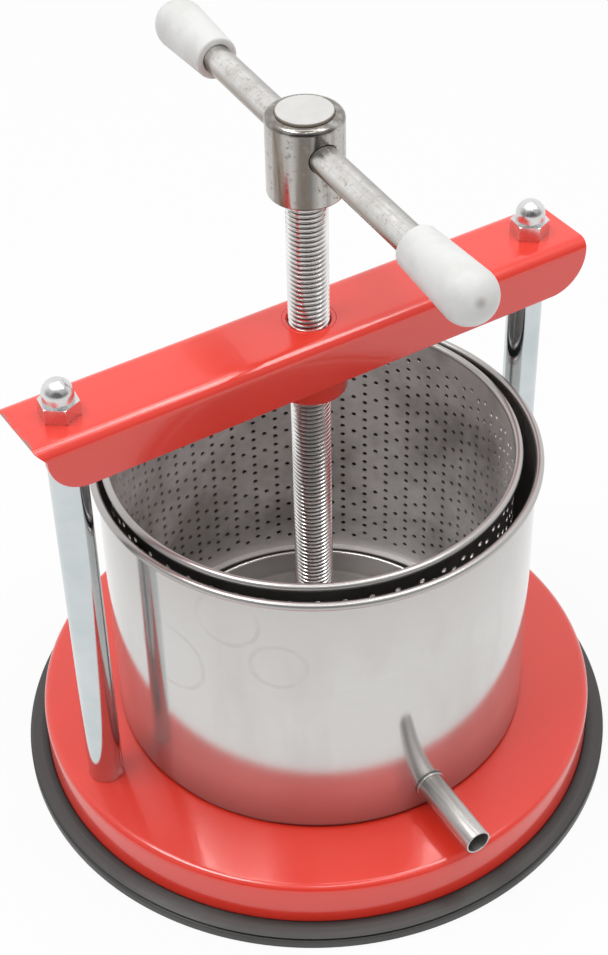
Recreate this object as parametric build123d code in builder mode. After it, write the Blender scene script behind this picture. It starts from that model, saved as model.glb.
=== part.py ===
# Fruit press: a screw press on a round base, with a perforated basket in a pot with a spout.
# Sizes are millimetres. The origin is the middle of the underside on the floor, +Z is up,
# X runs along the crossbar and the spout points almost along -Y.
import os
from math import cos, radians, sin

from build123d import *

os.makedirs("parts", exist_ok=True)

# Clearances
running_gap = 0.3
seat_gap = 0.1

# Collecting pot, which stands loose on the base, a little off the middle and turned
pot_diameter = 221.0
pot_sheet = 1.0
pot_height = 157.9
pot_corner_radius = 2.0
pot_bead_radius = 2.1
pot_shift_x = 1.6
pot_shift_y = -1.8
pot_turn = -2.4

# Spout
spout_diameter = 13.6
spout_wall = 0.9
spout_axis_height = 14.2
spout_reach = 44.5
spout_inner_stub = 2.0
collar_lip = 0.9
collar_diameter = spout_diameter + 2 * (seat_gap + collar_lip)
collar_thickness = 1.2

# Basket, which stands loose in the pot
basket_gap = 7.4
basket_sheet = 0.8
basket_inner_diameter = pot_diameter - 2 * (pot_sheet + basket_gap + basket_sheet)
basket_height = 160.4
basket_bead_radius = 2.1

# Press plate, a shallow dish inside the basket
plate_gap = 11.3
plate_diameter = basket_inner_diameter - 2 * plate_gap
plate_rim_width = 14.5
plate_flat_diameter = plate_diameter - 2 * plate_rim_width
plate_sheet = 2.0
plate_rise = 2.5

# Columns beside the pot, with a turned-down stud at each end
column_gap = 11.5
column_diameter = 18.0
column_spacing = pot_diameter + column_diameter + 2 * column_gap
column_height = 236.2
column_chamfer = 0.6
stud_diameter = 10.0
lower_stud_length = 17.0
upper_stud_length = 15.0

# Base dish, pressed from sheet, with a flange turned outward along its foot
base_margin = 19.0
base_diameter = column_spacing + 2 * base_margin
base_height = 34.0
base_sheet = 2.0
base_edge_radius = 4.0
flange_width = 6.5
flange_level = 3.5

# Rubber edging round the flange
edging_width = 10.5
edging_height = 9.0
edging_shoulder_height = 6.9
edging_groove_height = 1.3
edging_groove_depth = 0.9
edging_chamfer = 0.8
edging_crown_radius = 16.8
edging_inner_lap = 1.0

# Hexagon nuts and washers on the studs
nut_across_flats = 17.0
nut_height = 8.0
dome_radius = 7.4
dome_centre_height = 11.5
dome_roof = 3.0
washer_diameter = 30.0
washer_thickness = 2.5

# Crossbar, a bent channel with its web up
crossbar_left_overhang = 22.0
crossbar_right_overhang = 20.4
crossbar_left_end = -column_spacing / 2 - crossbar_left_overhang
crossbar_right_end = column_spacing / 2 + crossbar_right_overhang
crossbar_width = 43.0
crossbar_depth = 26.8
crossbar_sheet = 3.0
crossbar_bend_radius = 6.0
crossbar_corner_radius = 20.0
crossbar_end_land = 1.0
left_flange_setback = 4.4
right_flange_setback = 0.4

# Threaded bush in the crossbar
bush_spigot_diameter = 26.0
bush_drop = 36.2
bush_chamfer = 1.0

# Cup on the plate, with the washer that the screw pushes on
boss_diameter = 40.0
boss_height = 15.6
boss_floor = 3.0
boss_chamfer = 1.5
thrust_washer_thickness = 2.0
grub_screw_diameter = 6.0

# Screw
screw_diameter = 20.0
screw_length = 288.7
journal_diameter = 16.0
groove_diameter = 12.5

# Hub on the screw
hub_diameter = 36.0
hub_height = 40.0
hub_edge_radius = 3.0
hub_chamfer = 1.5
hub_cap_diameter = 26.6
hub_cap_thickness = 2.5
hub_cap_recess = 1.0

# Tommy bar and its grips
bar_diameter = 14.0
bar_level_in_hub = 25.1
bar_angle = -94.1
bar_offset = 4.2
bar_half_length = 131.0
grip_start = 91.3
grip_length = 52.0
grip_inner_radius = 10.5
grip_outer_radius = 12.5
grip_edge_radius = 1.2

# Radii and places that follow from the sizes above
pot_radius = pot_diameter / 2
pot_inner_radius = pot_radius - pot_sheet
spout_radius = spout_diameter / 2
basket_inner_radius = basket_inner_diameter / 2
half_spacing = column_spacing / 2
column_places = [(-half_spacing, 0), (half_spacing, 0)]
base_radius = base_diameter / 2
stud_radius = stud_diameter / 2

# Levels that follow from the sizes above
flange_top = flange_level + base_sheet
web_underside = base_height + column_height
web_top = web_underside + crossbar_sheet
pot_underside = base_height + running_gap
pot_floor_top = pot_underside + pot_sheet
pot_rim_level = pot_underside + pot_height
spout_axis = pot_floor_top + spout_axis_height
basket_floor_top = pot_floor_top + basket_sheet
basket_rim_level = pot_floor_top + basket_height
plate_underside = basket_floor_top + running_gap
plate_top = plate_underside + plate_sheet
boss_radius = boss_diameter / 2
boss_top = plate_top + boss_height
boss_bore_floor = plate_top + boss_floor
journal_radius = journal_diameter / 2
screw_radius = screw_diameter / 2
screw_foot = boss_bore_floor + thrust_washer_thickness + running_gap
screw_shoulder = boss_top + running_gap
grub_level = (screw_foot + screw_shoulder) / 2
groove_bottom = grub_level - grub_screw_diameter / 2 - running_gap
groove_top = grub_level + grub_screw_diameter / 2 + running_gap
grub_tip = groove_diameter / 2 + running_gap
hub_underside = screw_shoulder + screw_length
hub_top = hub_underside + hub_height
hub_radius = hub_diameter / 2
cap_underside = hub_top - hub_cap_recess
bar_level = hub_underside + bar_level_in_hub
bar_radius = bar_diameter / 2

# The pot's own axis and planes, and the plane of its spout, which faces the way the spout points
pot_axis = Axis((pot_shift_x, pot_shift_y, 0), (0, 0, 1))
pot_section = Plane(origin=(pot_shift_x, pot_shift_y, 0), x_dir=(1, 0, 0), z_dir=(0, -1, 0))
pot_level = Plane(origin=(pot_shift_x, pot_shift_y, pot_underside), x_dir=(1, 0, 0), z_dir=(0, 0, 1))
pot_side = Vector(cos(radians(pot_turn)), sin(radians(pot_turn)), 0)
spout_direction = Vector(pot_side.Y, -pot_side.X, 0)
spout_plane = Plane(origin=(pot_shift_x, pot_shift_y, 0), x_dir=pot_side, z_dir=spout_direction)

# The bar runs level through the hub, almost along Y
bar_direction = Vector(cos(radians(bar_angle)), sin(radians(bar_angle)), 0)
bar_side = Vector(bar_direction.Y, -bar_direction.X, 0)
bar_centre = Vector(0, 0, bar_level) + bar_direction * bar_offset
bar_section = Plane(origin=bar_centre, x_dir=bar_side, z_dir=bar_direction)
bar_length_plane = Plane(origin=bar_centre, x_dir=bar_direction, z_dir=bar_side)
bar_axis = Axis(bar_centre, bar_direction)


# The corner of a profile that lies nearest to a point
def corner(profile, x, y):
    return profile.vertices().sort_by_distance((x, y))[0]


# Base dish: flat top, upright skirt and the flange that the edging grips
with BuildPart() as base_dish:
    with BuildSketch(Plane.XZ) as base_profile:
        with BuildLine():
            Polyline(
                (0, base_height - base_sheet),
                (0, base_height),
                (base_radius, base_height),
                (base_radius, flange_top),
                (base_radius + flange_width, flange_top),
                (base_radius + flange_width, flange_level),
                (base_radius - base_sheet, flange_level),
                (base_radius - base_sheet, base_height - base_sheet),
                close=True,
            )
        make_face()
        fillet(corner(base_profile, base_radius, base_height), base_edge_radius)
        fillet(
            corner(base_profile, base_radius - base_sheet, base_height - base_sheet),
            base_edge_radius - base_sheet,
        )
    revolve(axis=Axis.Z)
    with BuildSketch(Plane.XY.offset(base_height)):
        with Locations(*column_places):
            Circle(stud_radius + running_gap)
    extrude(amount=-base_sheet, mode=Mode.SUBTRACT)

# Rubber edging: a C section that holds the flange, with a crowned top and a groove round it
edging_radius = base_radius + edging_width
groove_foot = edging_shoulder_height - edging_groove_height
with BuildPart() as base_edge_rubber:
    with BuildSketch(Plane.XZ):
        with BuildLine():
            shoulder = RadiusArc(
                (base_radius, edging_height),
                (edging_radius - edging_groove_depth / 2, edging_shoulder_height),
                edging_crown_radius,
            )
            Polyline(
                shoulder @ 1,
                (edging_radius - edging_groove_depth, edging_shoulder_height),
                (edging_radius - edging_groove_depth, groove_foot),
                (edging_radius, groove_foot),
                (edging_radius, edging_chamfer),
                (edging_radius - edging_chamfer, 0),
                (base_radius - edging_inner_lap, 0),
                (base_radius - edging_inner_lap, flange_level),
                (base_radius + flange_width + seat_gap, flange_level),
                (base_radius + flange_width + seat_gap, flange_top),
                (base_radius, flange_top),
                shoulder @ 0,
            )
        make_face()
    revolve(axis=Axis.Z)


# A column: a plain bar between base and crossbar, with a stud at each end
def build_column(place):
    with BuildPart() as column:
        with BuildSketch(Plane.XY.offset(base_height)):
            with Locations(place):
                Circle(column_diameter / 2)
        extrude(amount=column_height)
        chamfer(column.edges(), column_chamfer)
        with BuildSketch(Plane.XY.offset(base_height)):
            with Locations(place):
                Circle(stud_radius)
        extrude(amount=-lower_stud_length)
        with BuildSketch(Plane.XY.offset(web_underside)):
            with Locations(place):
                Circle(stud_radius)
        extrude(amount=upper_stud_length)
    return column


column_left = build_column(column_places[0])
column_right = build_column(column_places[1])

# Washers under the base, one on each lower stud
washer_top = base_height - base_sheet
with BuildPart() as base_washers:
    with BuildSketch(Plane.XY.offset(washer_top)):
        with Locations(*column_places):
            Circle(washer_diameter / 2)
            Circle(stud_radius + running_gap, mode=Mode.SUBTRACT)
    extrude(amount=-washer_thickness)

# Hexagon nuts under the washers
with BuildPart() as base_nuts:
    with BuildSketch(Plane.XY.offset(washer_top - washer_thickness)):
        with Locations(*column_places):
            RegularPolygon(nut_across_flats / 2, 6, major_radius=False)
            Circle(stud_radius + seat_gap, mode=Mode.SUBTRACT)
    extrude(amount=-nut_height)

# Crossbar: a channel with rounded bends, its flanges set back and rounded off at their ends
left_flange_end = crossbar_left_end + left_flange_setback
right_flange_end = crossbar_right_end - right_flange_setback
half_width = crossbar_width / 2
inner_half_width = half_width - crossbar_sheet
flange_foot = web_top - crossbar_depth
with BuildPart() as crossbar:
    with BuildSketch(Plane.YZ.offset(crossbar_left_end)) as channel:
        with BuildLine():
            Polyline(
                (-half_width, flange_foot),
                (-half_width, web_top),
                (half_width, web_top),
                (half_width, flange_foot),
                (inner_half_width, flange_foot),
                (inner_half_width, web_underside),
                (-inner_half_width, web_underside),
                (-inner_half_width, flange_foot),
                close=True,
            )
        make_face()
        for side in (-1, 1):
            fillet(corner(channel, side * half_width, web_top), crossbar_bend_radius)
            fillet(
                corner(channel, side * inner_half_width, web_underside),
                crossbar_bend_radius - crossbar_sheet,
            )
    extrude(amount=crossbar_right_end - crossbar_left_end)
    with BuildSketch(Plane.XZ) as crossbar_front:
        with BuildLine():
            Polyline(
                (crossbar_left_end, web_top),
                (crossbar_right_end, web_top),
                (crossbar_right_end, web_top - crossbar_end_land),
                (right_flange_end, web_top - crossbar_bend_radius),
                (right_flange_end, flange_foot),
                (left_flange_end, flange_foot),
                (left_flange_end, web_top - crossbar_bend_radius),
                (crossbar_left_end, web_top - crossbar_end_land),
                close=True,
            )
        make_face()
        for flange_end in (left_flange_end, right_flange_end):
            fillet(corner(crossbar_front, flange_end, flange_foot), crossbar_corner_radius)
    extrude(amount=crossbar_width, both=True, mode=Mode.INTERSECT)
    with BuildSketch(Plane.XY.offset(web_top)):
        with Locations(*column_places):
            Circle(stud_radius + running_gap)
        Circle(bush_spigot_diameter / 2 + seat_gap)
    extrude(amount=-crossbar_sheet, mode=Mode.SUBTRACT)

# Threaded bush: its spigot fills the web and its body hangs below the channel
bush_foot = web_underside - bush_drop
bush_bore = screw_radius + running_gap
bush_radius = inner_half_width - running_gap
bush_top_chamfer = crossbar_bend_radius - crossbar_sheet
with BuildPart() as screw_nut:
    with BuildSketch(Plane.XZ):
        with BuildLine():
            Polyline(
                (bush_bore, bush_foot + bush_chamfer),
                (bush_bore + bush_chamfer, bush_foot),
                (bush_radius - bush_chamfer, bush_foot),
                (bush_radius, bush_foot + bush_chamfer),
                (bush_radius, web_underside - bush_top_chamfer),
                (bush_radius - bush_top_chamfer, web_underside),
                (bush_spigot_diameter / 2, web_underside),
                (bush_spigot_diameter / 2, web_top),
                (bush_bore, web_top),
                close=True,
            )
        make_face()
    revolve(axis=Axis.Z)

# Cap nuts: a hexagon with a dome, drilled blind for the stud
with BuildPart() as cap_nuts:
    with BuildSketch(Plane.XY.offset(web_top)):
        with Locations(*column_places):
            RegularPolygon(nut_across_flats / 2, 6, major_radius=False)
    extrude(amount=nut_height)
    for place_x, place_y in column_places:
        with BuildSketch(Plane.XZ):
            with BuildLine():
                dome = CenterArc(
                    (place_x, web_top + dome_centre_height), dome_radius, 0, 90
                )
                Polyline(
                    dome @ 1,
                    (place_x, web_top + nut_height),
                    (place_x + dome_radius, web_top + nut_height),
                    dome @ 0,
                )
            make_face()
        revolve(axis=Axis((place_x, place_y, 0), (0, 0, 1)))
    with BuildSketch(Plane.XY.offset(web_top)):
        with Locations(*column_places):
            Circle(stud_radius + seat_gap)
    extrude(amount=dome_centre_height + dome_radius - dome_roof, mode=Mode.SUBTRACT)

# Pot wall: drawn sheet with a rolled rim and a rounded foot, and a hole for the spout
pot_floor_radius = pot_radius - pot_corner_radius
foot_centre = (pot_floor_radius, pot_underside + pot_corner_radius)
with BuildPart() as collector_pot:
    with BuildSketch(pot_section):
        with BuildLine():
            outer_foot = CenterArc(foot_centre, pot_corner_radius, -90, 90)
            inner_foot = CenterArc(foot_centre, pot_corner_radius - pot_sheet, -90, 90)
            Polyline(
                outer_foot @ 1,
                (pot_radius, pot_rim_level),
                (pot_inner_radius, pot_rim_level),
                inner_foot @ 1,
            )
            Line(inner_foot @ 0, outer_foot @ 0)
        make_face()
        with Locations((pot_inner_radius + pot_bead_radius, pot_rim_level)):
            Circle(pot_bead_radius)
    revolve(axis=pot_axis)
    with BuildSketch(spout_plane):
        with Locations((0, spout_axis)):
            Circle(spout_radius + seat_gap)
    extrude(amount=pot_diameter, mode=Mode.SUBTRACT)

# Flat floor of the pot, inside its rounded foot
with BuildPart() as pot_floor:
    with BuildSketch(pot_level):
        Circle(pot_floor_radius - seat_gap)
    extrude(amount=pot_sheet)

# Spout: a pipe through the pot's wall
with BuildPart() as spout_tube:
    with BuildSketch(spout_plane.offset(pot_inner_radius - spout_inner_stub)):
        with Locations((0, spout_axis)):
            Circle(spout_radius)
            Circle(spout_radius - spout_wall, mode=Mode.SUBTRACT)
    extrude(amount=spout_inner_stub + pot_sheet + spout_reach)

# Collar: a ring round the pipe that fits the curve of the wall
with BuildPart() as spout_collar:
    with BuildSketch(spout_plane.offset(pot_inner_radius)):
        with Locations((0, spout_axis)):
            Circle(collar_diameter / 2)
            Circle(spout_radius + seat_gap, mode=Mode.SUBTRACT)
    extrude(amount=pot_sheet + collar_thickness)
    with BuildSketch(pot_level):
        Circle(pot_radius + seat_gap)
    extrude(amount=pot_height, mode=Mode.SUBTRACT)

# Basket wall with its rim rolled outward
with BuildPart() as basket:
    with BuildSketch(Plane.XZ):
        with BuildLine():
            Polyline(
                (basket_inner_radius, pot_floor_top),
                (basket_inner_radius + basket_sheet, pot_floor_top),
                (basket_inner_radius + basket_sheet, basket_rim_level),
                (basket_inner_radius, basket_rim_level),
                close=True,
            )
        make_face()
        with Locations((basket_inner_radius + basket_bead_radius, basket_rim_level)):
            Circle(basket_bead_radius)
    revolve(axis=Axis.Z)

# Basket floor, a disc fixed inside the wall
with BuildPart() as basket_floor:
    with BuildSketch(Plane.XY.offset(pot_floor_top)):
        Circle(basket_inner_radius - seat_gap)
    extrude(amount=basket_sheet)

# Press plate: flat in the middle, with a low sloping rim
plate_radius = plate_diameter / 2
plate_flat_radius = plate_flat_diameter / 2
with BuildPart() as press_plate:
    with BuildSketch(Plane.XZ):
        with BuildLine():
            Polyline(
                (0, plate_underside),
                (plate_flat_radius, plate_underside),
                (plate_radius, plate_underside + plate_rise),
                (plate_radius, plate_top + plate_rise),
                (plate_flat_radius, plate_top),
                (0, plate_top),
                close=True,
            )
        make_face()
    revolve(axis=Axis.Z)

# Cup on the plate: a blind bore for the screw's foot and two cross holes for the grub screws
boss_bore = journal_radius + running_gap
with BuildPart() as plate_boss:
    with BuildSketch(Plane.XZ):
        with BuildLine():
            Polyline(
                (0, plate_top),
                (boss_radius, plate_top),
                (boss_radius, boss_top - boss_chamfer),
                (boss_radius - boss_chamfer, boss_top),
                (boss_bore, boss_top),
                (boss_bore, boss_bore_floor),
                (0, boss_bore_floor),
                close=True,
            )
        make_face()
    revolve(axis=Axis.Z)
    with BuildSketch(Plane.YZ):
        with Locations((0, grub_level)):
            Circle(grub_screw_diameter / 2)
    extrude(amount=boss_radius, both=True, mode=Mode.SUBTRACT)

# Thrust washer at the bottom of the cup
with BuildPart() as thrust_washer:
    with BuildSketch(Plane.XY.offset(boss_bore_floor)):
        Circle(journal_radius)
    extrude(amount=thrust_washer_thickness)

# Grub screws: their tips stand in the groove of the screw's foot
with BuildPart() as boss_grub_screws:
    for side in (-1, 1):
        with BuildSketch(Plane.YZ.offset(side * grub_tip)):
            with Locations((0, grub_level)):
                Circle(grub_screw_diameter / 2 - seat_gap)
        extrude(amount=side * (boss_radius - boss_chamfer - grub_tip))

# Screw: grooved foot, plain major diameter, cross hole for the tommy bar at the top
with BuildPart() as press_screw:
    with BuildSketch(Plane.XZ):
        with BuildLine():
            Polyline(
                (0, screw_foot),
                (journal_radius, screw_foot),
                (journal_radius, groove_bottom),
                (groove_diameter / 2, groove_bottom),
                (groove_diameter / 2, groove_top),
                (journal_radius, groove_top),
                (journal_radius, screw_shoulder),
                (screw_radius, screw_shoulder),
                (screw_radius, cap_underside),
                (0, cap_underside),
                close=True,
            )
        make_face()
    revolve(axis=Axis.Z)
    with BuildSketch(bar_section):
        Circle(bar_radius + running_gap)
    extrude(amount=hub_diameter, both=True, mode=Mode.SUBTRACT)

# Hub: turned head with a rounded top edge, a seat for its cap and the cross hole
with BuildPart() as screw_hub:
    with BuildSketch(Plane.XZ) as hub_profile:
        with BuildLine():
            Polyline(
                (screw_radius + seat_gap, hub_underside),
                (hub_radius - hub_chamfer, hub_underside),
                (hub_radius, hub_underside + hub_chamfer),
                (hub_radius, hub_top),
                (hub_cap_diameter / 2 + seat_gap, hub_top),
                (hub_cap_diameter / 2 + seat_gap, cap_underside),
                (screw_radius + seat_gap, cap_underside),
                close=True,
            )
        make_face()
        fillet(corner(hub_profile, hub_radius, hub_top), hub_edge_radius)
    revolve(axis=Axis.Z)
    with BuildSketch(bar_section):
        Circle(bar_radius + running_gap)
    extrude(amount=hub_diameter, both=True, mode=Mode.SUBTRACT)

# Cap on the hub
with BuildPart() as hub_cap:
    with BuildSketch(Plane.XY.offset(cap_underside)):
        Circle(hub_cap_diameter / 2)
    extrude(amount=hub_cap_thickness)

# Tommy bar
with BuildPart() as tommy_bar:
    with BuildSketch(bar_section):
        Circle(bar_radius)
    extrude(amount=bar_half_length, both=True)


# A grip: a tapered sleeve with a round end, bored blind to go over the bar
def build_grip(side):
    end_centre = grip_start + grip_length - grip_outer_radius
    bore_end = bar_half_length + seat_gap
    bore_radius = bar_radius + seat_gap
    with BuildPart() as grip:
        with BuildSketch(bar_length_plane) as grip_profile:
            with BuildLine():
                end = ThreePointArc(
                    (side * end_centre, grip_outer_radius),
                    (
                        side * (end_centre + grip_outer_radius * cos(radians(45))),
                        grip_outer_radius * sin(radians(45)),
                    ),
                    (side * (end_centre + grip_outer_radius), 0),
                )
                Polyline(
                    end @ 1,
                    (side * bore_end, 0),
                    (side * bore_end, bore_radius),
                    (side * grip_start, bore_radius),
                    (side * grip_start, grip_inner_radius),
                    end @ 0,
                )
            make_face()
            fillet(corner(grip_profile, side * grip_start, grip_inner_radius), grip_edge_radius)
        revolve(axis=bar_axis)
    return grip


grip_right = build_grip(1)
grip_left = build_grip(-1)

pieces = {
    "base_dish": base_dish,
    "base_edge_rubber": base_edge_rubber,
    "column_left": column_left,
    "column_right": column_right,
    "base_washers": base_washers,
    "base_nuts": base_nuts,
    "crossbar": crossbar,
    "screw_nut": screw_nut,
    "cap_nuts": cap_nuts,
    "collector_pot": collector_pot,
    "pot_floor": pot_floor,
    "spout_tube": spout_tube,
    "spout_collar": spout_collar,
    "basket": basket,
    "basket_floor": basket_floor,
    "press_plate": press_plate,
    "plate_boss": plate_boss,
    "thrust_washer": thrust_washer,
    "boss_grub_screws": boss_grub_screws,
    "press_screw": press_screw,
    "screw_hub": screw_hub,
    "hub_cap": hub_cap,
    "tommy_bar": tommy_bar,
    "grip_left": grip_left,
    "grip_right": grip_right,
}
for piece_name, piece in pieces.items():
    piece.part.label = piece_name
    export_step(piece.part, f"parts/{piece_name}.step")
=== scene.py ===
# Fruit press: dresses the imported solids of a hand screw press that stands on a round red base.
# Sizes are written in millimetres and every mesh is built in place, in metres.
from math import asin, atan2, cos, degrees, pi, radians, sin, sqrt

import bmesh
import bpy
from mathutils import Matrix, Vector


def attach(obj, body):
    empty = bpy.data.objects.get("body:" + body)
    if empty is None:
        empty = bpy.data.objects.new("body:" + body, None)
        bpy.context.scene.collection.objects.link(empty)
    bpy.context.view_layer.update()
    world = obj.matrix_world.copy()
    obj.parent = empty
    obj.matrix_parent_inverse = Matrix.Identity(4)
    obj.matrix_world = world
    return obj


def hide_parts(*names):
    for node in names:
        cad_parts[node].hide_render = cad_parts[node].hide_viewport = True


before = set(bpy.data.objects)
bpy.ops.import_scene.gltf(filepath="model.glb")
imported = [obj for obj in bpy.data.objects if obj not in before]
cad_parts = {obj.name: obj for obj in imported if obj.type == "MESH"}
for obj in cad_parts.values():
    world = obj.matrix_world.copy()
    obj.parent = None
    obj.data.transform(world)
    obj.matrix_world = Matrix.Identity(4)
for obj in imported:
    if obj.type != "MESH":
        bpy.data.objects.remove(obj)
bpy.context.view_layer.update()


# Base dish: a shallow pan pressed from steel sheet and turned upside down, with a flange along its foot.
# It is stove-enamelled in a glossy red, and the columns are bolted down through its flat top.
mm = 0.001
merge_distance = 0.001 * mm
base_top = 34.0
base_radius = 150.0
base_sheet = 2.0
base_bend = 4.0
base_inner_bend = 2.0
flange_radius = 156.5
flange_level = 3.5
flange_bend = 0.8
chips_from_x = -151.6
chips_full_x = -152.8


# Spins an outline of radii and heights round an upright axis. A third value rounds that corner.
def turned(outline, steps, about=(0, 0), closed=False):
    mesh = bmesh.new()
    axis = Vector((about[0] * mm, about[1] * mm, 0))
    corners = [mesh.verts.new(axis + Vector((point[0] * mm, 0, point[1] * mm))) for point in outline]
    sides = list(zip(corners, corners[1:]))
    if closed:
        sides.append((corners[-1], corners[0]))
    for side in sides:
        mesh.edges.new(side)
    for corner, point in zip(corners, outline):
        if len(point) == 3:
            bmesh.ops.bevel(
                mesh, geom=[corner], offset=point[2] * mm, offset_type="OFFSET", affect="VERTICES",
                segments=4, profile=0.5, material=-1,
            )
    profile = mesh.verts[:] + mesh.edges[:]
    bmesh.ops.spin(mesh, geom=profile, cent=axis, axis=(0, 0, 1), angle=2 * pi, steps=steps, use_merge=True)
    bmesh.ops.remove_doubles(mesh, verts=mesh.verts[:], dist=merge_distance)
    bmesh.ops.recalc_face_normals(mesh, faces=mesh.faces[:])
    return mesh


def place(mesh, name, body, nodes, finish, sharp=30):
    data = bpy.data.meshes.new(name)
    mesh.to_mesh(data)
    mesh.free()
    data.shade_smooth()
    data.set_sharp_from_angle(angle=radians(sharp))
    data.materials.append(finish)
    piece = bpy.data.objects.new(name, data)
    bpy.context.scene.collection.objects.link(piece)
    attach(piece, body)
    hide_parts(*nodes)
    return piece


def add_node(tree, kind, inputs=None, **settings):
    made = tree.nodes.new(kind)
    for setting, value in settings.items():
        setattr(made, setting, value)
    for label, value in (inputs or {}).items():
        if isinstance(value, bpy.types.NodeSocket):
            tree.links.new(value, made.inputs[label])
        else:
            made.inputs[label].default_value = value
    return made


def new_group(name, inputs, output):
    group = bpy.data.node_groups.new(name, "ShaderNodeTree")
    for label, value in inputs.items():
        kind = "NodeSocketVector" if isinstance(value, tuple) else "NodeSocketFloat"
        socket = group.interface.new_socket(label, in_out="INPUT", socket_type=kind)
        socket.default_value = value
    group.interface.new_socket(output, in_out="OUTPUT", socket_type="NodeSocketFloat")
    return group, group.nodes.new("NodeGroupInput").outputs, group.nodes.new("NodeGroupOutput").inputs


def use_group(tree, group, **inputs):
    return add_node(tree, "ShaderNodeGroup", inputs, node_tree=group).outputs[0]


def mix_colours(tree, mask, first, second):
    inputs = {0: mask}
    for index, colour in ((6, first), (7, second)):
        inputs[index] = colour if isinstance(colour, bpy.types.NodeSocket) else (*colour, 1)
    return add_node(tree, "ShaderNodeMix", inputs, data_type="RGBA").outputs[2]


def between(tree, mask, low, high):
    inputs = {"Value": mask, "To Min": low, "To Max": high}
    return add_node(tree, "ShaderNodeMapRange", inputs).outputs["Result"]


def ramp(tree, value, start, end, most=1.0):
    inputs = {"Value": value, "From Min": start, "From Max": end, "To Max": most}
    return add_node(tree, "ShaderNodeMapRange", inputs).outputs["Result"]


def both(tree, first, second):
    return add_node(tree, "ShaderNodeMath", {0: first, 1: second}, operation="MULTIPLY").outputs[0]


def new_finish(name, metallic=0.0):
    material = bpy.data.materials.new(name)
    material.use_nodes = True
    tree = material.node_tree
    shader = tree.nodes["Principled BSDF"]
    shader.inputs["Metallic"].default_value = metallic
    place_in_piece = add_node(tree, "ShaderNodeTexCoord").outputs["Object"]
    return material, tree, shader, place_in_piece


def feed(tree, shader, **sockets):
    for socket, source in sockets.items():
        tree.links.new(source, shader.inputs[socket.replace("_", " ")])


def add_bump(tree, shader, height, depth, strength=1.0):
    inputs = {"Height": height, "Distance": depth * mm, "Strength": strength}
    feed(tree, shader, Normal=add_node(tree, "ShaderNodeBump", inputs).outputs["Normal"])


cloud, cloud_in, cloud_out = new_group(
    "cloudy marks", {"Vector": (0.0, 0.0, 0.0), "Scale": 20.0, "Low": 0.35, "High": 0.65}, "Mask"
)
cloud_noise = add_node(
    cloud, "ShaderNodeTexNoise",
    {"Vector": cloud_in["Vector"], "Scale": cloud_in["Scale"], "Detail": 4.0, "Roughness": 0.6},
)
cloud_mask = ramp(cloud, cloud_noise.outputs["Fac"], cloud_in["Low"], cloud_in["High"])
cloud.links.new(cloud_mask, cloud_out["Mask"])

by_height, height_in, height_out = new_group(
    "share by height", {"Vector": (0.0, 0.0, 0.0), "Start": 0.0, "End": 1.0}, "Share"
)
height_parts = add_node(by_height, "ShaderNodeSeparateXYZ", {"Vector": height_in["Vector"]})
height_share = ramp(by_height, height_parts.outputs["Z"], height_in["Start"], height_in["End"])
by_height.links.new(height_share, height_out["Share"])


def share_by_height(tree, place_on_piece, start, end):
    return use_group(tree, by_height, Vector=place_on_piece, Start=start * mm, End=end * mm)


red_enamel, tree, shader, spot = new_finish("red enamel")
shader.inputs["IOR"].default_value = 1.6
shader.inputs["Coat Weight"].default_value = 0.5
shader.inputs["Coat Roughness"].default_value = 0.04
patches = use_group(tree, cloud, Vector=spot, Scale=9.0, Low=0.3, High=0.7)
film = use_group(tree, cloud, Vector=spot, Scale=35.0, Low=0.35, High=0.75)
orange_peel = use_group(tree, cloud, Vector=spot, Scale=420.0, Low=0.2, High=0.8)
paint = mix_colours(tree, patches, (0.92, 0.044, 0.024), (0.97, 0.050, 0.028))
spot_parts = add_node(tree, "ShaderNodeSeparateXYZ", {"Vector": spot})
left_end = ramp(tree, spot_parts.outputs["X"], chips_from_x * mm, chips_full_x * mm)
chipping = use_group(tree, cloud, Vector=spot, Scale=260.0, Low=0.46, High=0.58)
above_base = share_by_height(tree, spot, 200.0, 210.0)
chips = both(tree, both(tree, left_end, chipping), above_base)
feed(
    tree, shader,
    Base_Color=mix_colours(tree, chips, paint, (0.26, 0.23, 0.20)),
    Roughness=between(tree, film, 0.16, 0.26),
)
add_bump(tree, shader, orange_peel, 0.003)

base_outline = [
    (0, base_top),
    (base_radius, base_top, base_bend),
    (base_radius, flange_level + base_sheet, flange_bend),
    (flange_radius, flange_level + base_sheet),
    (flange_radius, flange_level),
    (base_radius - base_sheet, flange_level, flange_bend),
    (base_radius - base_sheet, base_top - base_sheet, base_inner_bend),
    (0, base_top - base_sheet),
]
place(turned(base_outline, 240), "red_base", "frame", ["base_dish"], red_enamel)


# Rubber edging: an extruded black rubber strip with a slot that is pushed over the base's flange.
# It has a crowned shoulder, a groove round it and a foot lip, and it keeps the press from sliding.
edging_radius = 160.5
edging_inside = 149.0
edging_top = 9.0
crown_radius = 155.5
shoulder_foot = 6.9
groove_top = 6.6
groove_foot = 5.6
groove_depth = 1.7
lip_top = 5.2
slot_gap = 0.1
skirt_gap = 0.05


def axis_distance(tree, place_on_piece):
    flat = add_node(
        tree, "ShaderNodeVectorMath", {0: place_on_piece, 1: (1.0, 1.0, 0.0)}, operation="MULTIPLY"
    )
    return add_node(tree, "ShaderNodeVectorMath", {0: flat.outputs[0]}, operation="LENGTH").outputs["Value"]


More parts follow.
